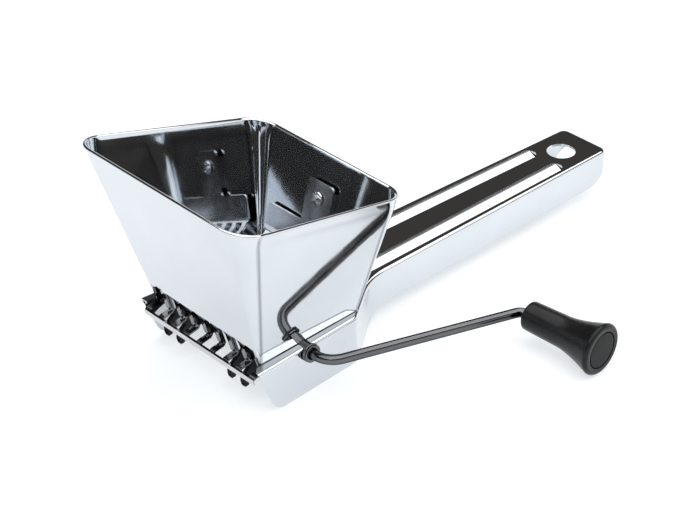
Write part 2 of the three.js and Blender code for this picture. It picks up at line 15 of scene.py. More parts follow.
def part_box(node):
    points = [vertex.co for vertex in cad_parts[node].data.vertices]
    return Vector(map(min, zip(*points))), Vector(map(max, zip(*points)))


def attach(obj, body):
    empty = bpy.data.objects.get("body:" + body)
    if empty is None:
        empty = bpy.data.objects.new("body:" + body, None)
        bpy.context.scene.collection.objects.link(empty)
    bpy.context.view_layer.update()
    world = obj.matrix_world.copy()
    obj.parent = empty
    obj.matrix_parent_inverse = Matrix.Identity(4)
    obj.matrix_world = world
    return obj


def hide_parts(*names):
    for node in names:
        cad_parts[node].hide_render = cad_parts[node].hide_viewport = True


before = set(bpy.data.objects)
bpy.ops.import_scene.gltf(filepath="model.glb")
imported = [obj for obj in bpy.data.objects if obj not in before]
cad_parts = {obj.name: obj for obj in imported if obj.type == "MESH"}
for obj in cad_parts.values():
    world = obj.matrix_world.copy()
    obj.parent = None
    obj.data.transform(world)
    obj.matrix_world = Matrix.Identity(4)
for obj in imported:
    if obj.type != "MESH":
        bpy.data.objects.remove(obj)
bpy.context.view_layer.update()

MM = 0.001

# Hopper. A share is a height as a share of the rim's, which slopes down toward the back.
SHEET = 0.8
FOOT = {"front_x": -22.8, "back_x": 31.5, "front_half": 31.9, "back_half": 30.0}
RIM = {"front_x": -44.8, "back_x": 44.7, "front_half": 50.1, "back_half": 43.1}
FOLDED_CORNER = 1.4
CONE_CORNER = 8.2
RIM_CORNER = 11.0
FLARE_SHARE = 0.86
RIM_FRONT_Z = 75.1
RIM_BACK_Z = 53.8
TUCK = 0.018
TUCK_BREAK = 0.0015
FOOT_LINE = 0.005
WALL_SHARES = (0, FOOT_LINE, FOOT_LINE * 1.5, 0.115, 0.2, 0.45, 0.7, 0.84, 0.86, 0.88, 0.9, 0.92, 0.935,
               0.95, 0.965)
LIP_RADIUS = 0.85
LIP_DROP = 0.87
LIP_INSET = 0.048
EDGE_BREAK = 0.12
# Painted shade on the hopper, as shares of a dark grey mixed into its chrome: round its foot, on the posts
# between its slots below a height, and thin lines along its seams that fade out near the rim.
FOOT_SHADE = 0.9
POST_SHADE = 0.85
POST_SHADE_TOP_Z = 8.6
SEAM_SHADE = 0.6
SEAM_HALF = 1.3
SEAM_TOP = 0.97
SEAM_STEPS = (0.5, 1.0, 1.6)
WALL_SLOT = {"foot": -4.0, "top": 8.4, "width": 5.2, "round": 2.3}
EAR_HALF = 12.0
EAR_DEPTH = 12.0
TAB_HALF = 15.0
TAB_END_X = 42.0
AXLE_HOLE = 3.3

# Handle frame. Its corners are (x, y, radius) seen from above.
FRAME_SHEET = 1.0
GAP = 0.3
FOLD = 1.4
WINDOW_CORNER = 1.7
OUTLINE_FRONT_X = -36.0
CHEEK_FRONT_X = -27.0
CHEEK_FRONT_HALF = 36.8
CHEEK_TAPER = 0.0571
CHEEK_FOOT_X = -17.8
CHEEK_DEPTH = 21.8
CHEEK_AT_AXLE = 35.1
HANDLE_DEPTH = 15.9
SHOULDER = (27.5, 33.4, 6)
NECK = (51, 16.8, 30)
HANDLE_END_X = 201.4
HANDLE_END = (HANDLE_END_X, 13.4, 3.8)
HANGING_HOLE_X = 184.7
HANGING_HOLE_R = 6.5
BEAD = {"from": (50.0, 9.8), "to": (172.0, 7.9), "half": 3.4, "height": 1.75, "crest": 1.6}
BEAD_SLOPE = math.radians(30.6)
BEAD_FILLET = ((-0.25, 0), (0, 0), (0.12, 0.02), (0.25, 0.09))

# Axle, crank, rotor and knob
AXLE_Z = -2.5
ROD = 2.1
BORE = 2.4
AXLE_FAR_Y = 39.2
CRANK_CORNER = Vector((0, -45.6, AXLE_Z))
CRANK_BEND = 8.0
PIN_CORNER = Vector((90, -65.2, -10.55))
PIN_BEND = 3.4
PIN_SPLAY = math.radians(4.5)
CLAW_COUNT = 8
CLAW_PITCH = 7.95
CLAW_SHEET = 2.0
CLAW_REACH = 25.4
CLAW_HUB = 7.4
HIGH_CLAW_ANGLE = 165
LOW_CLAW_ANGLE = 212
LOW_CLAW_PLATES = (2, 3, 7, 8)
SPACER_RADIUS = 6.2
BUSH_RADIUS = 3.1
BUSH_FLANGE = 4.0
BUSH_INNER_Y = 29.7
BUSH_FLANGE_Y = CHEEK_AT_AXLE + 0.7
BUSH_OUTER_Y = BUSH_FLANGE_Y + 1
WASHER_Y = BUSH_OUTER_Y + 0.3
WASHER_RADIUS = 3.8
WASHER_SHEET = 0.7
KNOB_LENGTH = 37.2
KNOB_SETBACK = 3.6
KNOB_NECK = 6.3
KNOB_FLARE = 11.2
KNOB_EDGE = 1.5
KNOB_CAP_BORE = 8.0
KNOB_CAP_DEPTH = 1.8
KNOB_NUT_BORE = 5.0
KNOB_NUT_DEPTH = 9.0

# Combs and rivets
COMB_TOP_Z = 17.0
COMB_HALF = 29.9
COMB_SLOT = {"foot": -4.1, "top": 10.4, "width": 5.2, "round": 2.3}
LEDGE_Z = -3.4
BAR_HALF = 33.5
BAR_X = -27.0
BAR_FOOT = (-26.4, -6.6)
# Painted shade on the front comb, from just under its ledge upward.
LEDGE_SHADE = 0.8
LEDGE_SHADE_FOOT_Z = -4.2
BRACKET_TOP_Z = 43.0
BRACKET_HALF = 7.5
BACK_BAR = {"half": 27.0, "top": 24.0, "foot": 13.0}
BACK_BEND_Z = 15.0
STANDOFF = 1.4
TINE_HALF = 1.5
TINE_TIP = (9.5, 0.0)
TINE_CUT_Z = -5
COMB_RIVET_Z = 35.6
FOOT_RIVET = (37.2, 10.0)
RIVET = 1.5
RIVET_HEAD = 2.9
RIVET_HOLE = 1.7

# Finishes: (darkest colour, lightest colour, lowest roughness, highest roughness)
CHROME = ((0.64, 0.668, 0.7), (0.67, 0.698, 0.73), 0.03, 0.08)
BRUSHED = ((0.5, 0.51, 0.53), (0.62, 0.63, 0.65), 0.1, 0.22)
DARK_PLATING = ((0.11, 0.112, 0.118), (0.15, 0.152, 0.158), 0.1, 0.18)
BLACK_OXIDE = ((0.02, 0.02, 0.021), (0.05, 0.05, 0.052), 0.25, 0.4)
# The dark grey of the painted shade, mixed into the plating where a mesh marks it.
SHADE_GREY = (0.07, 0.073, 0.078, 1)


def frame_origin():
    """The point X = 0, Y = 0, Z = 0 of the mill's own millimetres, in the CAD frame."""
    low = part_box("axle_bush_crank_side")
    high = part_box("axle_bush_far_side")
    centre = (low[0] + low[1] + high[0] + high[1]) / 4
    return centre - Vector((0, 0, AXLE_Z * MM))


ORIGIN = frame_origin()
TO_FRAME = Matrix.Translation(ORIGIN) @ Matrix.Scale(MM, 4)


def at(x, y, z):
    return TO_FRAME @ Vector((x, y, z))


def lerp(a, b, t):
    return a + (b - a) * t


# ---------------------------------------------------------------- camera, floor and lights
def make_camera():
    azimuth, elevation, distance = math.radians(-43), math.radians(33), 0.8433
    back = Vector((math.sin(azimuth) * math.cos(elevation),
                   -math.cos(azimuth) * math.cos(elevation), math.sin(elevation)))
    data = bpy.data.cameras.new("camera")
    data.lens = 108.4
    data.clip_start, data.clip_end = 0.02, 30
    camera = bpy.data.objects.new("camera", data)
    camera.location = at(36.6, -19.5, 16.4) + back * distance
    camera.rotation_euler = (-back).to_track_quat("-Z", "Y").to_euler()
    bpy.context.collection.objects.link(camera)
    bpy.context.scene.camera = camera


def make_light(name, place, target, size, power, in_reflections=True):
    data = bpy.data.lights.new(name, "AREA")
    data.shape = "RECTANGLE"
    data.size, data.size_y = size
    data.energy = power
    light = bpy.data.objects.new(name, data)
    light.location = place
    light.rotation_euler = (Vector(target) - Vector(place)).to_track_quat("-Z", "Y").to_euler()
    light.visible_glossy = in_reflections
    bpy.context.collection.objects.link(light)


def make_world():
    """White at and below the horizon, dark above it: the sheet metal's tops mirror the dark part.

    The dark comes lower on the far side, which the ledge and the hopper's inside mirror, than on the
    crank's side.
    """
    world = bpy.data.worlds.new("studio")
    world.use_nodes = True
    tree = world.node_tree
    coordinates = tree.nodes.new("ShaderNodeTexCoord")
    height = tree.nodes.new("ShaderNodeVectorMath")
    height.operation = "DOT_PRODUCT"
    height.inputs[1].default_value = (0, 0, 1)
    toward_far = tree.nodes.new("ShaderNodeVectorMath")
    toward_far.operation = "DOT_PRODUCT"
    toward_far.inputs[1].default_value = (-0.35, 0.94, 0)
    rise = tree.nodes.new("ShaderNodeMath")
    rise.operation = "MULTIPLY_ADD"
    rise.inputs[1].default_value = 0.18
    gradient = tree.nodes.new("ShaderNodeValToRGB")
    stops = ((0.0, (1.1, 1.1, 1.1, 1)),
             (0.22, (1.0, 1.0, 1.0, 1)),
             (0.32, (0.058, 0.053, 0.048, 1)))
    gradient.color_ramp.elements.new(0.5)
    for element, (place, colour) in zip(gradient.color_ramp.elements, stops):
        element.position = place
        element.color = colour
    tree.links.new(coordinates.outputs["Generated"], height.inputs[0])
    tree.links.new(coordinates.outputs["Generated"], toward_far.inputs[0])
    tree.links.new(toward_far.outputs["Value"], rise.inputs[0])
    tree.links.new(height.outputs["Value"], rise.inputs[2])
    tree.links.new(rise.outputs["Value"], gradient.inputs["Fac"])
    tree.links.new(gradient.outputs["Color"], tree.nodes["Background"].inputs["Color"])
    bpy.context.scene.world = world


def make_studio():
    make_world()
    bpy.context.scene.view_settings.view_transform = "Standard"
    middle = (0.0, 0.0, 0.0)
    make_light("overhead", (0.1, -0.1, 1.5), (0.1, -0.1, 0.0), (3.0, 2.7), 54)
    for name, x, y in (("fill_front_left", -1.6, -0.9), ("fill_front_right", 0.9, -1.6),
                       ("fill_back_right", 1.6, 0.9), ("fill_back_left", -0.9, 1.6)):
        make_light(name, (x, y, 1.0), middle, (1.6, 1.2), 5, in_reflections=False)
    mesh = bpy.data.meshes.new("floor")
    half = 2.0
    corners = [(-half, -half, 0), (half, -half, 0), (half, half, 0), (-half, half, 0)]
    mesh.from_pydata(corners, [], [(0, 1, 2, 3)])
    floor = bpy.data.objects.new("floor", mesh)
    bpy.context.collection.objects.link(floor)
    mesh.materials.append(floor_paint())


# ---------------------------------------------------------------- materials
def new_material(name):
    material = bpy.data.materials.new(name)
    material.use_nodes = True
    tree = material.node_tree
    return material, tree, tree.nodes["Principled BSDF"]


def noise(tree, scale, detail=3.0, stretch=(1, 1, 1), roughness=0.5):
    """A noise texture on object coordinates; its Fac output."""
    coordinates = tree.nodes.new("ShaderNodeTexCoord")
    mapping = tree.nodes.new("ShaderNodeMapping")
    mapping.inputs["Scale"].default_value = stretch
    texture = tree.nodes.new("ShaderNodeTexNoise")
    texture.inputs["Scale"].default_value = scale
    texture.inputs["Detail"].default_value = detail
    texture.inputs["Roughness"].default_value = roughness
    tree.links.new(coordinates.outputs["Object"], mapping.inputs["Vector"])
    tree.links.new(mapping.outputs["Vector"], texture.inputs["Vector"])
    return texture.outputs["Fac"]


def ramp(tree, factor, low, high, low_at=0.3, high_at=0.7):
    """A value or a colour that runs from low to high as factor goes from low_at to high_at."""
    node = tree.nodes.new("ShaderNodeValToRGB")
    for element, value, place in zip(node.color_ramp.elements, (low, high), (low_at, high_at)):
        element.position = place
        element.color = (*value, 1) if isinstance(value, tuple) else (value, value, value, 1)
    tree.links.new(factor, node.inputs["Fac"])
    return node.outputs["Color"]


def bump(tree, height, strength, distance, under=None):
    node = tree.nodes.new("ShaderNodeBump")
    node.inputs["Strength"].default_value = strength
    node.inputs["Distance"].default_value = distance
    tree.links.new(height, node.inputs["Height"])
    if under:
        tree.links.new(under, node.inputs["Normal"])
    return node.outputs["Normal"]


def floor_paint():
    """A pale sheet lit from below as well as from above, so that shadows on it stay faint."""
    material, tree, shader = new_material("floor_paint")
    shader.inputs["Roughness"].default_value = 0.9
    shader.inputs["Specular IOR Level"].default_value = 0.1
    colour = ramp(tree, noise(tree, 2.0), (0.44, 0.443, 0.446), (0.46, 0.46, 0.46))
    tree.links.new(colour, shader.inputs["Base Color"])
    shader.inputs["Emission Color"].default_value = (0.93, 0.97, 1, 1)
    shader.inputs["Emission Strength"].default_value = 0.62
    return material


def polished_metal(name, dark, light, smooth, dull, ripple=0.02, edge=1.0, waves=0.0, painted_shade=False):
    """Plated sheet or wire: a little colour drift, polishing haze, faint scuffs and a slow ripple.

    waves adds upright waves to the sheet, as bending leaves them beside the folds. The last option mixes
    painted shade into the colour, a dark grey wherever the mesh's attribute of the same name is high.
    """
    material, tree, shader = new_material(name)
    shader.inputs["Metallic"].default_value = 1.0
    colour = ramp(tree, noise(tree, 35.0), dark, light)
    # Painted shade: the colour turns to a dark grey where the mesh's attribute is high.
    if painted_shade:
        attribute = tree.nodes.new("ShaderNodeAttribute")
        attribute.attribute_name = "painted_shade"
        mix = tree.nodes.new("ShaderNodeMix")
        mix.data_type = "RGBA"
        tree.links.new(attribute.outputs["Fac"], mix.inputs["Factor"])
        tree.links.new(colour, mix.inputs["A"])
        mix.inputs["B"].default_value = SHADE_GREY
        colour = mix.outputs["Result"]
    tree.links.new(colour, shader.inputs["Base Color"])
    haze = ramp(tree, noise(tree, 60.0, 6.0, roughness=0.65), smooth, dull, 0.35, 0.75)
    tree.links.new(haze, shader.inputs["Roughness"])
    shader.inputs["Specular Tint"].default_value = (edge, edge, edge, 1)
    surface = bump(tree, noise(tree, 28.0, 1.0), 1.0, ripple * MM)
    if waves:
        surface = bump(tree, noise(tree, 75.0, 1.0, (1, 1, 0.12)), 1.0, waves * MM, surface)
    surface = bump(tree, noise(tree, 900.0, 2.0, (1, 0.06, 1)), 0.12, 0.004 * MM, surface)
    tree.links.new(surface, shader.inputs["Normal"])
    return material


def moulded_plastic(name, index, smooth, dull):
    """Satin black moulding: fine grain, and a few paler rubbed patches."""
    material, tree, shader = new_material(name)
    shader.inputs["IOR"].default_value = index
    rubbed = ramp(tree, noise(tree, 90.0, 5.0), (0.006, 0.006, 0.0063), (0.011, 0.011, 0.0116))
    tree.links.new(rubbed, shader.inputs["Base Color"])
    tree.links.new(ramp(tree, noise(tree, 240.0, 4.0), smooth, dull), shader.inputs["Roughness"])
    tree.links.new(bump(tree, noise(tree, 1500.0, 2.0), 0.25, 0.02 * MM), shader.inputs["Normal"])
    return material


# ---------------------------------------------------------------- mesh tools
def new_object(name, vertices, faces):
    """A mesh object from millimetre points, its faces turned outward."""
    mesh = bpy.data.meshes.new(name)
    mesh.from_pydata([TO_FRAME @ Vector(v) for v in vertices], [], faces)
    tidy = bmesh.new()
    tidy.from_mesh(mesh)
    bmesh.ops.remove_doubles(tidy, verts=tidy.verts, dist=1e-6)
    bmesh.ops.recalc_face_normals(tidy, faces=tidy.faces)
    tidy.to_mesh(mesh)
    tidy.free()
    obj = bpy.data.objects.new(name, mesh)
    bpy.context.collection.objects.link(obj)
    return obj


def apply_modifiers(obj):
    graph = bpy.context.evaluated_depsgraph_get()
    mesh = bpy.data.meshes.new_from_object(obj.evaluated_get(graph))
    obj.modifiers.clear()
    obj.data = mesh


def combine(obj, tool, operation):
    """Joins tool to obj or cuts it away, and removes the tool."""
    modifier = obj.modifiers.new("combine", "BOOLEAN")
    modifier.operation = operation
    modifier.solver = "EXACT"
    modifier.object = tool
    apply_modifiers(obj)
    bpy.data.objects.remove(tool)


def soften(obj, width, angle):
    """A small rounding on every edge sharper than the angle."""
    modifier = obj.modifiers.new("soften", "BEVEL")
    modifier.width = width * MM
    modifier.segments = 2
    modifier.limit_method = "ANGLE"
    modifier.angle_limit = math.radians(angle)
    modifier.use_clamp_overlap = True
    apply_modifiers(obj)


def dress(obj, material, body, nodes, smooth_angle=30):
    """Shading and finish; parents the piece to its body's empty and hides the CAD nodes that it stands for.
    """
    for polygon in obj.data.polygons:
        polygon.use_smooth = True
    obj.data.set_sharp_from_angle(angle=math.radians(smooth_angle))
    weighted = obj.modifiers.new("weighted_normals", "WEIGHTED_NORMAL")
    weighted.keep_sharp = True
    obj.data.materials.clear()
    obj.data.materials.append(material)
    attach(obj, body)
    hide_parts(*nodes)
    return obj


def rounded_loop(corners, steps=8):
    """A closed loop through corners (x, y, radius), each corner turned into an arc."""
    points = []
    for i, (x, y, radius) in enumerate(corners):
        corner = Vector((x, y))
        if radius <= 0:
            points.append(corner)
            continue
        before = Vector(corners[i - 1][:2])
        after = Vector(corners[(i + 1) % len(corners)][:2])
        back = (before - corner).normalized()
        ahead = (after - corner).normalized()
        half = back.angle(ahead) / 2
        centre = corner + (back + ahead).normalized() * (radius / math.sin(half))
        reach = radius / math.tan(half)
        start = corner + back * reach - centre
        end = corner + ahead * reach - centre
        turn = math.copysign(math.pi - 2 * half, start.x * end.y - start.y * end.x)
        for k in range(steps + 1):
            points.append(centre + Matrix.Rotation(turn * k / steps, 2) @ start)
    return points


def symmetric(half_corners):
    """An outline seen from above, from the corners (x, y, radius) of its +Y half."""
    return half_corners + [(x, -y, radius) for x, y, radius in reversed(half_corners)]


def mirrored(half_corners):
    """The other half of an outline seen from the front, with corners (y, z, radius)."""
    return [(-y, z, radius) for y, z, radius in reversed(half_corners)]


def slab(name, outline, low, high, plane="XY"):
    """An outline in a plane, extruded along the third axis from low to high."""
    place = {"XY": lambda u, v, w: (u, v, w),
             "XZ": lambda u, v, w: (u, w, v),
             "YZ": lambda u, v, w: (w, u, v)}[plane]
    count = len(outline)
    vertices = [place(p[0], p[1], low) for p in outline] + [place(p[0], p[1], high) for p in outline]
    faces = [tuple(range(count)), tuple(range(2 * count - 1, count - 1, -1))]
    faces += [(i, (i + 1) % count, count + (i + 1) % count, count + i) for i in range(count)]
    return new_object(name, vertices, faces)


def circle(x, y, radius, steps=48):
    angles = [2 * math.pi * i / steps for i in range(steps)]
    return [(x + radius * math.cos(a), y + radius * math.sin(a)) for a in angles]


def turned(name, profile, matrix, steps=64, closed=False):
    """A profile of (radius, height) pairs turned about Z, then placed by the matrix."""
    vertices, faces, rings = [], [], []
    for radius, height in profile:
        if radius < 1e-6:
            rings.append([len(vertices)] * steps)
            vertices.append(matrix @ Vector((0, 0, height)))
            continue
        rings.append(list(range(len(vertices), len(vertices) + steps)))
        for i in range(steps):
            angle = 2 * math.pi * i / steps
            vertices.append(matrix @ Vector((radius * math.cos(angle), radius * math.sin(angle), height)))
    pairs = list(zip(rings, rings[1:])) + ([(rings[-1], rings[0])] if closed else [])
    for lower, upper in pairs:
        for i in range(steps):
            j = (i + 1) % steps
            corners = [lower[i], lower[j], upper[j], upper[i]]
            unique = list(dict.fromkeys(corners))
            if len(unique) > 2:
                faces.append(unique)
    return new_object(name, vertices, faces)


def about_y(x, y, z, sign=1):
    """Places a turned piece with its axis along +Y or -Y."""
    return Matrix.Translation((x, y, z)) @ Matrix.Rotation(-sign * math.pi / 2, 4, "X")


def claw_y(index):
    """The middle of a claw plate, counted from 0 on the crank's side."""
    return (index - (CLAW_COUNT - 1) / 2) * CLAW_PITCH


def bezier(start, control, end, steps=12):
    """Points of a bend from start to end, without start itself."""
    shares = [k / steps for k in range(1, steps + 1)]
    return [start.lerp(control, t).lerp(control.lerp(end, t), t) for t in shares]


def cut_slots(body, slot):
    """One slot per claw plate through a sheet that faces the front."""
    for i in range(CLAW_COUNT):
        left, right = claw_y(i) - slot["width"] / 2, claw_y(i) + slot["width"] / 2
        outline = rounded_loop([(left, slot["foot"], 0), (right, slot["foot"], 0),
                                (right, slot["top"], slot["round"]), (left, slot["top"], slot["round"])])
        combine(body, slab("slot", outline, -40, -10, "YZ"), "DIFFERENCE")


def paint_shade(body, shade_at):
    """Stores at every vertex, as a point attribute, the amount of painted shade that the given function
    returns for its point in the mill's millimetres.
    """
    painted_shade = body.data.attributes.new("painted_shade", "FLOAT", "POINT")
    to_mill = TO_FRAME.inverted()
    for vertex, value in zip(body.data.vertices, painted_shade.data):
        value.value = shade_at(to_mill @ vertex.co)


def foot_half(x):
    """Half the hopper's width at its foot."""
    slope = (FOOT["back_half"] - FOOT["front_half"]) / (FOOT["back_x"] - FOOT["front_x"])
    return FOOT["front_half"] + slope * (x - FOOT["front_x"])


def back_wall_x(z):
    return lerp(FOOT["back_x"], RIM["back_x"], z / RIM_BACK_Z)


def front_wall_x(z):
    return lerp(FOOT["front_x"], RIM["front_x"], z / RIM_FRONT_Z)


# ---------------------------------------------------------------- hopper
def corner_radius(share):
    """The corners' radius at a share of the wall's height: cones that flare out below the rim."""
    flare = max(0, (share - FLARE_SHARE) / (1 - FLARE_SHARE))
    return lerp(FOLDED_CORNER, CONE_CORNER, share) + (RIM_CORNER - CONE_CORNER) * flare * flare


def hopper_ring(share, inset):
    """The wall at a share of its height, inset from its outside, with extra points beside the seams."""
    size = {key: lerp(FOOT[key], RIM[key], share) for key in FOOT}
    front_x, back_x = size["front_x"] + inset, size["back_x"] - inset
    corner = corner_radius(share) - inset
    arc = 14
    loop = rounded_loop(symmetric([(front_x, size["front_half"] - inset, corner),
                                   (back_x, size["back_half"] - inset, corner)]), arc)
    for start in (3 * arc + 2, arc):
        ends = loop[start], loop[start + 1]
        length = (ends[1] - ends[0]).length
        extra = [ends[0].lerp(ends[1], d / length) for d in SEAM_STEPS]
        extra += [ends[1].lerp(ends[0], d / length) for d in reversed(SEAM_STEPS)]
        loop[start + 1:start + 1] = extra
    depth = back_x - front_x
    return [(p.x, p.y, share * lerp(RIM_FRONT_Z, RIM_BACK_Z, (p.x - front_x) / depth)) for p in loop]


def hopper_shade(point):
    """Painted shade: high round the hopper's foot, on the posts between its slots and, faintly, along its
    seams.
    """
    along = (point.x - FOOT["front_x"]) / (FOOT["back_x"] - FOOT["front_x"])
    share = point.z / lerp(RIM_FRONT_Z, RIM_BACK_Z, min(1, max(0, along)))
    if -TUCK <= share <= FOOT_LINE * 1.2:
        return FOOT_SHADE
    if 0 < point.z < POST_SHADE_TOP_Z and point.x < front_wall_x(point.z) + SHEET * 1.5:
        return POST_SHADE * min(1, (POST_SHADE_TOP_Z - point.z) / 2)
    if 0 < share < SEAM_TOP:
        distance = min(1, abs(seam_distance(point, share)) / SEAM_HALF)
        fade = min(1, (SEAM_TOP - share) * 25)
        return SEAM_SHADE * fade * (1 + math.cos(math.pi * distance)) / 2
    return 0


def seam_distance(point, share):
    """How far a point of the wall is, round the hopper, from the edge between a cone and a side wall."""
    size = {key: lerp(FOOT[key], RIM[key], share) for key in FOOT}
    back = abs(point.x - size["back_x"]) < abs(point.x - size["front_x"])
    side = size["back_half"] if back else size["front_half"]
    radius = corner_radius(share)
    inward = radius - (size["back_x"] - point.x if back else point.x - size["front_x"])
    outward = abs(point.y) - (side - radius)
    if outward <= 0:
        return SEAM_HALF
    return radius * (math.pi / 2 - math.atan2(outward, inward)) if inward > 0 else inward


def make_hopper(material):
    """A closed section, up the outside, round the hemmed lip and down the inside, swept round the walls."""
    lip = []
    for k in range(13):
        angle = math.radians(lerp(-70, 145, k / 12))
        lip.append((1 + (LIP_RADIUS * math.sin(angle) - LIP_DROP) / RIM_FRONT_Z,
                    LIP_INSET - LIP_RADIUS * math.cos(angle)))
    section = [(-TUCK, EDGE_BREAK), (-TUCK + TUCK_BREAK, 0)] + [(share, 0) for share in WALL_SHARES]
    section += [(1 - 1.9 / RIM_FRONT_Z, 0)] + lip + [(1 - 0.75 / RIM_FRONT_Z, SHEET)]
    section += [(share, SHEET) for share in reversed(WALL_SHARES)]
    section += [(-TUCK + TUCK_BREAK, SHEET), (-TUCK, SHEET - EDGE_BREAK)]
    rings = [hopper_ring(share, inset) for share, inset in section]
    count = len(rings[0])
    faces = []
    for r in range(len(rings)):
        following = (r + 1) % len(rings)
        for i in range(count):
            j = (i + 1) % count
            faces.append((r * count + i, r * count + j, following * count + j, following * count + i))
    body = new_object("hopper_shell", [v for ring in rings for v in ring], faces)

    ear = rounded_loop([(-EAR_HALF, 1, 0), (-EAR_HALF, -EAR_DEPTH, 7),
                        (EAR_HALF, -EAR_DEPTH, 7), (EAR_HALF, 1, 0)])
    slope = math.atan2(FOOT["back_half"] - FOOT["front_half"], FOOT["back_x"] - FOOT["front_x"])
    for side in (-1, 1):
        piece = slab("ear", ear, -SHEET / 2, SHEET / 2, "XZ")
        turn = Matrix.Rotation(side * slope, 4, "Z")
        shift = Matrix.Translation((0, side * (foot_half(0) - SHEET / 2), 0))
        piece.data.transform(TO_FRAME @ shift @ turn @ TO_FRAME.inverted())
        combine(body, piece, "UNION")
    tab = rounded_loop(symmetric([(FOOT["back_x"] - 0.3, TAB_HALF, 0), (TAB_END_X, TAB_HALF, 4)]))
    combine(body, slab("tab", tab, GAP, GAP + SHEET), "UNION")
    for side in (-1, 1):
        hole = circle(FOOT_RIVET[0], side * FOOT_RIVET[1], RIVET_HOLE, 32)
        combine(body, slab("hole", hole, -1, 3), "DIFFERENCE")
    combine(body, slab("axle_hole", circle(0, AXLE_Z, AXLE_HOLE), -45, 45, "XZ"), "DIFFERENCE")
    cut_slots(body, WALL_SLOT)
    # Painted shade round the foot, on the posts between the slots and along the seams.
    paint_shade(body, hopper_shade)
    return dress(body, material, "frame", ["hopper"])


# ---------------------------------------------------------------- handle frame
def frame_outline():
    """The handle frame's outline seen from above, from one cheek's front round to the other's."""
    front_half = CHEEK_FRONT_HALF + (CHEEK_FRONT_X - OUTLINE_FRONT_X) * CHEEK_TAPER
    return rounded_loop(symmetric([(OUTLINE_FRONT_X, front_half, 0), SHOULDER, NECK, HANDLE_END]), 14)


def inset_path(points, inset):
    """The path moved toward its right-hand side by the inset."""
    moved = []
    for i, point in enumerate(points):
        ahead = points[min(i + 1, len(points) - 1)] - point
        behind = point - points[max(i - 1, 0)]
        normals = [Vector((d.y, -d.x)).normalized() for d in (ahead, behind) if d.length > 1e-9]
        normal = sum(normals, Vector((0, 0))).normalized()
        stretch = 1 / max(0.5, normal.dot(normals[0]))
        moved.append(point + normal * inset * stretch)
    return moved


def bead_loop(sign, inset):
    """A bead's contour at an inset from its foot, on the handle's +Y or -Y side."""
    radius = BEAD["half"] - inset
    (x0, y0), (x1, y1) = BEAD["from"], BEAD["to"]
    start, end = Vector((x0, sign * y0)), Vector((x1, sign * y1))
    heading = math.atan2(end.y - start.y, end.x - start.x)
    points = []
    for centre, first in ((end, -math.pi / 2), (start, math.pi / 2)):
        for k in range(17):
            angle = heading + first + math.pi * k / 16
            points.append(centre + radius * Vector((math.cos(angle), math.sin(angle))))
    return points


def bead_section():
    """(inset, height) from a bead's foot over a small fillet and a straight flank onto its round crest."""
    radius = BEAD["crest"]
    arc = [(BEAD["half"] - radius * math.sin(a), BEAD["height"] - radius * (1 - math.cos(a)))
           for a in (BEAD_SLOPE * (1 - k / 6) for k in range(6))]
    halfway = tuple(lerp(a, b, 0.5) for a, b in zip(BEAD_FILLET[-1], arc[0]))
    return [*BEAD_FILLET, halfway] + arc


def side_profile():
    """The handle frame's outline seen from the side, with corners (x, z, radius)."""
    end_x = HANDLE_END_X + 0.01
    return rounded_loop([(CHEEK_FRONT_X, 4, 0), (CHEEK_FRONT_X, 0, 0), (CHEEK_FOOT_X, -CHEEK_DEPTH, 8),
                         (39, -CHEEK_DEPTH, 12), (55, -HANDLE_DEPTH, 20),
                         (end_x, -HANDLE_DEPTH, 13), (end_x, 4, 0)], 12)


def is_inside(point, loop):
    """Whether a point lies inside a closed loop, by counting the edges that it sees along +X."""
    crossings = 0
    for a, b in zip(loop, loop[1:] + loop[:1]):
        if (a[1] > point[1]) != (b[1] > point[1]):
            if point[0] < a[0] + (point[1] - a[1]) * (b[0] - a[0]) / (b[1] - a[1]):
                crossings += 1
    return crossings % 2 == 1


def fill_flat(mesh, loops):
    """Triangles between the first loop and the others; a loop is a list of (mesh vertex, point)."""
    flat = [item for loop in loops for item in loop]
    edges, start = [], 0
    for loop in loops:
        edges += [(start + i, start + (i + 1) % len(loop)) for i in range(len(loop))]
        start += len(loop)
    places = [Vector(p[:2]) for _, p in flat]
    points, _, triangles, sources, _, _ = delaunay_2d_cdt(places, edges, [], 0, 1e-6)
    outer, *holes = [[tuple(p[:2]) for _, p in loop] for loop in loops]
    for triangle in triangles:
        centre = sum((points[i] for i in triangle), Vector((0, 0))) / 3
        if is_inside(centre, outer) and not any(is_inside(centre, hole) for hole in holes):
            mesh.faces.new([flat[sources[i][0]][0] for i in triangle])


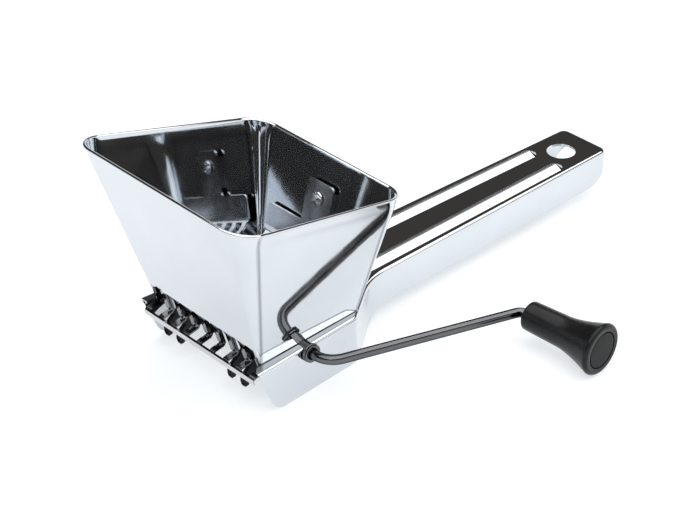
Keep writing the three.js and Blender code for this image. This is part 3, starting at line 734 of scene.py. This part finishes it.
def frame_skin():
    """The pressing's outer skin: sides, rounded fold, top with its holes, and the two beads."""
    mesh = bmesh.new()
    outline = frame_outline()

    def row(points, z):
        return [mesh.verts.new(TO_FRAME @ Vector((p[0], p[1], z))) for p in points]

    def band(lower, upper, closed=False):
        count = len(lower)
        for i in range(count if closed else count - 1):
            j = (i + 1) % count
            mesh.faces.new((lower[i], lower[j], upper[j], upper[i]))

    rows = [row(outline, z) for z in (-26, -20, -14, -8, -FOLD)]
    steps = 10
    for k in range(1, steps + 1):
        angle = math.pi / 2 * k / steps
        top = inset_path(outline, FOLD * (1 - math.cos(angle)))
        rows.append(row(top, -FOLD * (1 - math.sin(angle))))
    for lower, upper in zip(rows, rows[1:]):
        band(lower, upper)

    top = inset_path(outline, FOLD + 0.25)
    rows.append(row(top, 0))
    band(rows[-2], rows[-1])
    loops = [list(zip(rows[-1], top))]
    holes = [circle(HANGING_HOLE_X, 0, HANGING_HOLE_R, 64)]
    holes += [circle(FOOT_RIVET[0], side * FOOT_RIVET[1], RIVET_HOLE, 32) for side in (-1, 1)]
    loops += [list(zip(row(hole, 0), hole)) for hole in holes]
    for sign in (-1, 1):
        rings = [row(bead_loop(sign, inset), z) for inset, z in bead_section()]
        for lower, upper in zip(rings, rings[1:]):
            band(lower, upper, True)
        loops.append(list(zip(rings[0], bead_loop(sign, bead_section()[0][0]))))
        crown = rings[-1]
        half = len(crown) // 2
        for i in range(half - 1):
            mesh.faces.new((crown[i], crown[i + 1], crown[2 * half - 2 - i], crown[2 * half - 1 - i]))
    fill_flat(mesh, loops)
    bmesh.ops.recalc_face_normals(mesh, faces=mesh.faces)
    if sum(f.normal.z * f.calc_area() for f in mesh.faces) < 0:
        bmesh.ops.reverse_faces(mesh, faces=mesh.faces)
    data = bpy.data.meshes.new("handle_pressing")
    mesh.to_mesh(data)
    mesh.free()
    body = bpy.data.objects.new("handle_pressing", data)
    bpy.context.collection.objects.link(body)
    return body


def make_handle_frame(material):
    """The skin, thickened inward, trimmed to its outline from the side and opened for hopper and axle."""
    body = frame_skin()
    sheet = body.modifiers.new("sheet", "SOLIDIFY")
    sheet.thickness = FRAME_SHEET * MM
    sheet.offset = -1
    sheet.use_even_offset = True
    apply_modifiers(body)
    combine(body, slab("profile", side_profile(), -60, 60, "XZ"), "INTERSECT")
    back_x = FOOT["back_x"] + GAP
    window = symmetric([(OUTLINE_FRONT_X, foot_half(OUTLINE_FRONT_X) + GAP, 0),
                        (back_x, foot_half(back_x) + GAP, WINDOW_CORNER)])
    combine(body, slab("window", rounded_loop(window, 10), -30, 5), "DIFFERENCE")
    combine(body, slab("axle_hole", circle(0, AXLE_Z, BUSH_RADIUS + GAP), -60, 60, "XZ"), "DIFFERENCE")
    return dress(body, material, "frame", ["handle_frame"])


# ---------------------------------------------------------------- combs
def strip_outline(points, thickness):
    """The outline of a bent strip: a centreline given a thickness."""
    sides = ([], [])
    for i, point in enumerate(points):
        tangent = points[min(i + 1, len(points) - 1)] - points[max(i - 1, 0)]
        normal = Vector((-tangent.y, tangent.x)).normalized() * thickness / 2
        sides[0].append(point + normal)
        sides[1].append(point - normal)
    return sides[0] + sides[1][::-1]


def make_front_comb(material):
    """A slotted strip inside the front wall, bent out under its foot and down into a short bar."""
    def wall_x(z):
        return front_wall_x(z) + SHEET * 1.5 + GAP + 0.1
    low = Vector((wall_x(-1.5), -1.5))
    path = [Vector((wall_x(COMB_TOP_Z), COMB_TOP_Z)), low]
    path += bezier(low, Vector((low.x - 0.2, -2.8)), Vector((low.x - 1.6, LEDGE_Z + 0.5)))
    path.append(Vector((BAR_X + 1.8, LEDGE_Z)))
    path += bezier(path[-1], Vector((BAR_X, LEDGE_Z - 0.3)), Vector((BAR_X, LEDGE_Z - 1.6)))
    path += bezier(path[-1], Vector((BAR_X, BAR_FOOT[1] + 0.8)), Vector(BAR_FOOT))
    body = slab("front_comb_strip", strip_outline(path, SHEET), -BAR_HALF, BAR_HALF, "XZ")
    half = [(COMB_HALF - 1, COMB_TOP_Z, 3), (COMB_HALF, LEDGE_Z + 1, 0),
            (BAR_HALF, LEDGE_Z + 1, 0), (BAR_HALF, BAR_FOOT[1] * 2, 0)]
    outline = rounded_loop(half + mirrored(half))
    combine(body, slab("comb_outline", outline, -40, 0, "YZ"), "INTERSECT")
    cut_slots(body, COMB_SLOT)
    # Painted shade on the strip from just under the ledge upward.
    paint_shade(body, lambda point: LEDGE_SHADE if point.z > LEDGE_SHADE_FOOT_Z else 0)
    return dress(body, material, "frame", ["front_comb"])


def make_back_comb(material):
    """A bracket on the back wall that widens into a bar, with tines that reach between the claw plates."""
    def wall_x(z):
        return back_wall_x(z) - SHEET * 1.5 - STANDOFF
    bend = Vector((wall_x(BACK_BEND_Z), BACK_BEND_Z))
    path = [Vector((wall_x(BRACKET_TOP_Z), BRACKET_TOP_Z)), bend]
    path += bezier(bend, bend + Vector((-0.8, -3.5)), bend + Vector((-5, -5)))
    path.append(Vector(TINE_TIP))
    strip = strip_outline(path, SHEET)
    body = slab("back_comb_strip", strip, -BACK_BAR["half"], BACK_BAR["half"], "XZ")
    foot = BACK_BAR["foot"]
    half = [(BRACKET_HALF, BRACKET_TOP_Z, 2), (BRACKET_HALF, BACK_BAR["top"], 1.5),
            (BACK_BAR["half"], BACK_BAR["top"], 2), (BACK_BAR["half"], foot, 1)]
    tines = []
    for i in reversed(range(CLAW_COUNT - 1)):
        y = (claw_y(i) + claw_y(i + 1)) / 2
        tines += [(y + TINE_HALF, foot, 0.6), (y + TINE_HALF, TINE_CUT_Z, 0),
                  (y - TINE_HALF, TINE_CUT_Z, 0), (y - TINE_HALF, foot, 0.6)]
    outline = half + tines + mirrored(half)
    combine(body, slab("comb_outline", rounded_loop(outline, 6), 0, 60, "YZ"), "INTERSECT")
    low, high = BACK_BAR["top"] + 3, BRACKET_TOP_Z - 3
    lip = strip_outline([Vector((wall_x(low) + 0.7, low)), Vector((wall_x(high) + 0.7, high))], 2.0)
    for side in (-1, 1):
        edge = side * (BRACKET_HALF - SHEET / 2)
        combine(body, slab("lip", lip, edge - SHEET / 2, edge + SHEET / 2, "XZ"), "UNION")
    return dress(body, material, "frame", ["back_comb"])


# ---------------------------------------------------------------- rivets and bushes
def rivet_profile(grip):
    """A rivet with its domed head up: (radius, height) from its axis round to its axis."""
    tail, foot = RIVET_HEAD * 0.8, -grip - GAP
    head = [(RIVET_HEAD * math.cos(a), GAP + 0.25 + 1.05 * math.sin(a))
            for a in (math.radians(90 * k / 10) for k in range(11))]
    return ([(0, foot - 0.9), (tail * 0.7, foot - 0.9), (tail * 0.92, foot - 0.75), (tail, foot - 0.5),
             (tail, foot - 0.08), (tail - 0.08, foot), (RIVET, foot), (RIVET, GAP), (RIVET_HEAD - 0.1, GAP),
             (RIVET_HEAD, GAP + 0.1)] + head[1:-1] + [(0, GAP + 1.3)])


def make_rivets(material):
    """One rivet through the back comb and the back wall, and two through the hopper's tab and the frame."""
    lean = math.atan2(RIM["back_x"] - FOOT["back_x"], RIM_BACK_Z)
    grip = SHEET * 2 + STANDOFF
    middle = Vector((back_wall_x(COMB_RIVET_Z) - grip * math.cos(lean), 0,
                     COMB_RIVET_Z + grip * math.sin(lean)))
    inward = Vector((-math.cos(lean), 0, math.sin(lean))).to_track_quat("Z", "Y").to_matrix().to_4x4()
    rivets = [("comb_rivet", Matrix.Translation(middle) @ inward, grip)]
    for node, side in (("foot_rivet_crank_side", -1), ("foot_rivet_far_side", 1)):
        place = Matrix.Translation((FOOT_RIVET[0], side * FOOT_RIVET[1], SHEET + GAP))
        rivets.append((node, place, SHEET + FRAME_SHEET + GAP))
    for node, matrix, stack in rivets:
        rivet = turned(node + "_domed", rivet_profile(stack), matrix, 40)
        dress(rivet, material, "frame", [node], 50)


def ring_profile(bore, radius, low, high, edge=0.15):
    """A ring's section as (radius, height), its four edges broken."""
    return [(bore, low + edge), (bore + edge, low), (radius - edge, low), (radius, low + edge),
            (radius, high - edge), (radius - edge, high), (bore + edge, high), (bore, high - edge)]


def make_bushes(material):
    """Two flanged bushes for the axle, one in each cheek."""
    inner, flange, outer = BUSH_INNER_Y, BUSH_FLANGE_Y, BUSH_OUTER_Y
    profile = [(BORE, inner + 0.1), (BORE + 0.1, inner), (BUSH_RADIUS - 0.1, inner),
               (BUSH_RADIUS, inner + 0.1), (BUSH_RADIUS, flange), (BUSH_FLANGE - 0.1, flange),
               (BUSH_FLANGE, flange + 0.1), (BUSH_FLANGE, outer - 0.4),
               (BUSH_FLANGE - 0.15, outer - 0.12), (BUSH_FLANGE - 0.45, outer),
               (BORE + 0.15, outer), (BORE, outer - 0.15)]
    for node, sign in (("axle_bush_far_side", 1), ("axle_bush_crank_side", -1)):
        bush = turned(node + "_turned", profile, about_y(0, 0, AXLE_Z, sign), 64, closed=True)
        dress(bush, material, "frame", [node], 50)


# ---------------------------------------------------------------- rotor
def claw_outline(angle):
    """A claw plate seen from the side: a hub and two opposite hooks, the first one at the angle."""
    def polar(radius, degrees):
        turn = math.radians(degrees)
        return Vector((radius * math.cos(turn), AXLE_Z + radius * math.sin(turn)))
    reach, hub = CLAW_REACH, CLAW_HUB
    points = []
    for claw in (angle, angle + 180):
        points += [polar(hub, claw + a) for a in range(-48, -33, 2)]
        points += bezier(points[-1], polar(reach * 0.6, claw - 19), polar(reach * 0.9, claw - 9), 14)
        points += bezier(points[-1], polar(reach * 0.99, claw - 5), polar(reach, claw + 3), 10)
        points.append(polar(reach * 0.94, claw + 5))
        points += bezier(points[-1], polar(reach * 0.84, claw + 2), polar(reach * 0.6, claw + 7), 12)
        points += bezier(points[-1], polar(hub * 1.3, claw + 14), polar(hub, claw + 36), 12)
        points += [polar(hub, claw + a) for a in range(40, 131, 6)]
    return points


def make_rotor(cutter, wire):
    """Claw plates and spacers on the axle, the washer at the crank and the cap at the far end."""
    for i in range(CLAW_COUNT):
        angle = LOW_CLAW_ANGLE if i + 1 in LOW_CLAW_PLATES else HIGH_CLAW_ANGLE
        low, high = claw_y(i) - CLAW_SHEET / 2, claw_y(i) + CLAW_SHEET / 2
        plate = slab(f"claw_stamping_{i + 1}", claw_outline(angle), low, high, "XZ")
        combine(plate, slab("bore", circle(0, AXLE_Z, BORE), -50, 50, "XZ"), "DIFFERENCE")
        soften(plate, EDGE_BREAK, 50)
        dress(plate, cutter, "rotor", [f"claw_plate_{i + 1}"])
    half = (CLAW_PITCH - CLAW_SHEET) / 2 - GAP
    for i in range(CLAW_COUNT - 1):
        matrix = about_y(0, (claw_y(i) + claw_y(i + 1)) / 2, AXLE_Z)
        profile = ring_profile(BORE, SPACER_RADIUS, -half, half, 0.3)
        tube = turned(f"spacer_tube_{i + 1}", profile, matrix, 48, closed=True)
        dress(tube, cutter, "rotor", [f"claw_spacer_{i + 1}"], 50)
    profile = ring_profile(BORE, WASHER_RADIUS, WASHER_Y, WASHER_Y + WASHER_SHEET)
    washer = turned("crank_collar", profile, about_y(0, 0, AXLE_Z, -1), 48, closed=True)
    dress(washer, wire, "rotor", ["crank_washer"], 50)
    floor, mouth = AXLE_FAR_Y + GAP, BUSH_OUTER_Y + 0.4
    profile = [(BORE, mouth + 0.1), (BORE + 0.1, mouth), (5.05, mouth), (5.2, mouth + 0.15),
               (5.2, mouth + 0.5), (5.05, mouth + 0.65), (4.2, mouth + 0.8), (3.7, mouth + 1.1),
               (3.6, mouth + 1.6), (3.4, floor + 0.35), (3.05, floor + 0.75), (2.2, floor + 1.03),
               (1.1, floor + 1.16), (0, floor + 1.2), (0, floor), (BORE, floor)]
    cap = turned("axle_end_cap", profile, about_y(0, 0, AXLE_Z), 64, closed=True)
    dress(cap, wire, "rotor", ["axle_cap"], 50)


def pin_axis():
    return Vector((math.sin(PIN_SPLAY), -math.cos(PIN_SPLAY), 0))


def rod_path():
    """The wire's centreline: axle, bend, arm, bend and the knob's pin."""
    def toward(start, end, distance):
        return start + (end - start).normalized() * distance
    start = Vector((0, AXLE_FAR_Y, AXLE_Z))
    end = PIN_CORNER + pin_axis() * (KNOB_SETBACK + KNOB_LENGTH - 4.5)
    points = [start]
    bend_in = toward(CRANK_CORNER, start, CRANK_BEND)
    bend_out = toward(CRANK_CORNER, PIN_CORNER, CRANK_BEND)
    points += [start.lerp(bend_in, k / 6) for k in range(1, 7)]
    points += bezier(bend_in, CRANK_CORNER, bend_out, 24)
    pin_in = toward(PIN_CORNER, CRANK_CORNER, PIN_BEND)
    pin_out = toward(PIN_CORNER, end, PIN_BEND)
    points += [bend_out.lerp(pin_in, k / 8) for k in range(1, 9)]
    points += bezier(pin_in, PIN_CORNER, pin_out, 20)
    points += [pin_out.lerp(end, k / 3) for k in range(1, 4)]
    return points


def make_rod(material):
    """The wire swept along its path, with small chamfers on its two ends."""
    points = rod_path()
    steps = 40
    vertices, faces = [], []
    side = Vector((0, 0, 1))
    rings = [(0, 0.0, ROD - 0.35), (0, 0.35, ROD)]
    rings += [(i, 0.0, ROD) for i in range(1, len(points) - 1)]
    rings += [(len(points) - 1, -0.35, ROD), (len(points) - 1, 0.0, ROD - 0.35)]
    for i, shift, radius in rings:
        tangent = (points[min(i + 1, len(points) - 1)] - points[max(i - 1, 0)]).normalized()
        side = (side - tangent * side.dot(tangent)).normalized()
        other = tangent.cross(side)
        centre = points[i] + tangent * shift
        for k in range(steps):
            angle = 2 * math.pi * k / steps
            vertices.append(centre + side * radius * math.cos(angle) + other * radius * math.sin(angle))
    for r in range(len(rings) - 1):
        for k in range(steps):
            j = (k + 1) % steps
            faces.append((r * steps + k, r * steps + j, (r + 1) * steps + j, (r + 1) * steps + k))
    faces += [tuple(range(steps)), tuple(range(len(vertices) - 1, len(vertices) - steps - 1, -1))]
    rod = new_object("crank_wire", vertices, faces)
    return dress(rod, material, "rotor", ["crank_rod"], 40)


# ---------------------------------------------------------------- knob
def knob_radius(share):
    """The grip's radius: it swells slightly from the neck, then flares toward its end."""
    swell = KNOB_NECK + 1.0 * share
    return lerp(swell, KNOB_FLARE, min(1, max(0, (share - 0.45) / 0.5)) ** 1.7)


def make_knob(plastic, matt, bright):
    """The grip with a recess in its flared end, the disc that closes it and the nut behind the disc."""
    rest = Matrix.Translation(PIN_CORNER) @ Matrix.Rotation(PIN_SPLAY, 4, "Z")
    matrix = rest @ Matrix.Rotation(math.pi / 2, 4, "X")
    start, end = KNOB_SETBACK, KNOB_SETBACK + KNOB_LENGTH
    bore = BORE + 0.1
    recess, well = end - KNOB_CAP_DEPTH, end - KNOB_NUT_DEPTH
    profile = [(bore, start + 0.3), (bore + 0.3, start), (KNOB_NECK - 1.3, start)]
    profile += [(KNOB_NECK - 1.3 + 1.25 * math.sin(a), start + 1.2 - 1.2 * math.cos(a))
                for a in (math.radians(90 * k / 8) for k in range(1, 9))]
    steps = 60
    for k in range(1, steps + 1):
        along = lerp(1.4, KNOB_LENGTH - 1.7, k / steps)
        profile.append((knob_radius(k / steps * 0.95), start + along))
    rim = knob_radius(0.95) - KNOB_EDGE
    profile += [(rim + KNOB_EDGE * math.cos(a), end - KNOB_EDGE + KNOB_EDGE * math.sin(a))
                for a in (math.radians(90 * k / 10) for k in range(1, 11))]
    profile += [(KNOB_CAP_BORE + 0.25, end), (KNOB_CAP_BORE, end - 0.25), (KNOB_CAP_BORE, recess),
                (KNOB_NUT_BORE, recess), (KNOB_NUT_BORE, well), (bore, well)]
    grip = turned("knob_moulding", profile, matrix, 96, closed=True)
    dress(grip, plastic, "knob", ["knob"], 50)
    radius = KNOB_CAP_BORE - GAP
    profile = [(0, end - 1.4), (radius, end - 1.4), (radius, end - 0.45), (radius - 0.12, end - 0.2),
               (radius - 0.4, end - 0.1), (radius * 0.5, end - 0.1), (0, end - 0.1)]
    cap = turned("knob_end_disc", profile, matrix, 72)
    dress(cap, matt, "knob", ["knob_cap"], 40)
    profile = [(BORE, end - 7.0), (BORE, end - 5.6), (4.4, end - 5.6), (4.4, end - 6.4), (3.4, end - 7.0)]
    nut = turned("push_on_nut", profile, matrix, 48, closed=True)
    dress(nut, bright, "rotor", ["knob_nut"], 40)


make_camera()
# Chrome with painted shade where the hopper's mesh marks it.
hopper_chrome = polished_metal("hopper_chrome", *CHROME, waves=0.04, painted_shade=True)
sheet_chrome = polished_metal("polished_sheet", *CHROME)
comb_steel = polished_metal("comb_steel", *BRUSHED, ripple=0.03)
# Brushed steel with painted shade where the front comb's mesh marks it.
painted_shade_steel = polished_metal("painted_shade_steel", *BRUSHED, painted_shade=True)
dark_wire = polished_metal("dark_wire", *DARK_PLATING, edge=0.25)
rivet_chrome = polished_metal("rivet_chrome", *BRUSHED)
cutter_steel = polished_metal("cutter_steel", *BLACK_OXIDE, edge=0.3)
black_plastic = moulded_plastic("black_plastic", 1.3, 0.2, 0.3)
cap_plastic = moulded_plastic("cap_plastic", 1.2, 0.3, 0.4)

make_hopper(hopper_chrome)
make_handle_frame(sheet_chrome)
make_front_comb(painted_shade_steel)
make_back_comb(comb_steel)
make_rivets(rivet_chrome)
make_bushes(dark_wire)
make_rotor(cutter_steel, dark_wire)
make_rod(dark_wire)
make_knob(black_plastic, cap_plastic, rivet_chrome)
make_studio()
